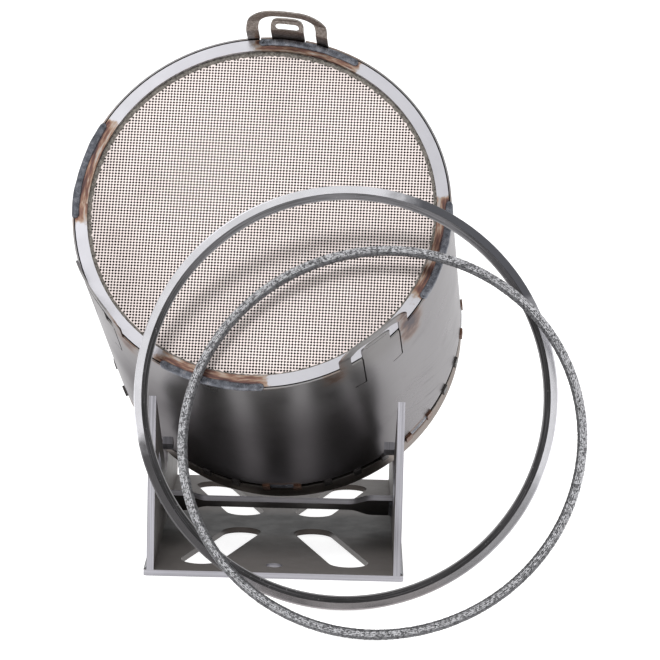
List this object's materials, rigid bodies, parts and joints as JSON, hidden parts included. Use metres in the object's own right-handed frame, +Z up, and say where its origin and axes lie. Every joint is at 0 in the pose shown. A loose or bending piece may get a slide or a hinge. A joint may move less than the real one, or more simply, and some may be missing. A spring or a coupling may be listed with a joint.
{
  "type": "filter canister on a welded cradle",
  "caption": "Round welded steel filter canister with a honeycomb face, lying tilted in a plate cradle, with a loose seal ring and a loose wire mesh gasket in front.",
  "frame": {"origin": "centre of the base plate's underside", "axes": "+Z up, +Y to the back along the length of the cradle, +X to the right seen from the front"},
  "size_m": [0.422, 0.5789, 0.4716],
  "materials": {
    "stand_steel": "satin, cut from plate",
    "shell_steel": "satin sheet with heat tint near the welds",
    "rim_steel": "bright",
    "weld_bead": "rippled, dark",
    "mat_fibre": "fibrous",
    "ceramic": "matte, porous",
    "seal_steel": "polished",
    "facing": "matte graphite with fine turned lines",
    "wire_mesh": "knitted wire"
  },
  "bodies": {
    "stand": {"base_plate": "stand_steel", "left_cheek": "stand_steel", "right_cheek": "stand_steel", "cross_brace": "stand_steel", "left_rest_pad": "stand_steel", "right_rest_pad": "stand_steel", "stand_welds": "weld_bead"},
    "canister": {"outer_shell": "shell_steel", "shell_seam_weld": "weld_bead", "inner_can": "shell_steel", "support_mat": "mat_fibre", "honeycomb_core": "ceramic", "front_ring": "rim_steel", "front_weld_bottom": "weld_bead", "front_weld_right": "weld_bead", "front_weld_top": "weld_bead", "front_weld_left": "weld_bead", "rear_ring": "rim_steel", "rear_teeth": "shell_steel", "rear_welds": "weld_bead"},
    "seal_ring": {"seal_ring": "seal_steel", "seal_ring_facing": "facing"},
    "mesh_gasket": {"mesh_gasket": "wire_mesh"}
  },
  "joints": [
    {"name": "canister_lift", "type": "slide", "parent": "stand", "child": "canister", "axis": [0.041, 0.4945, 0.8682], "range_m": [0, 0.045]},
    {"name": "seal_ring_takeoff", "type": "slide", "parent": "stand", "child": "seal_ring", "axis": [0.0522, -0.987, 0.1519], "range_m": [0, 0.25]},
    {"name": "mesh_gasket_takeoff", "type": "slide", "parent": "seal_ring", "child": "mesh_gasket", "axis": [-0.1113, -0.8721, 0.4766], "range_m": [0, 0.25]}
  ]
}
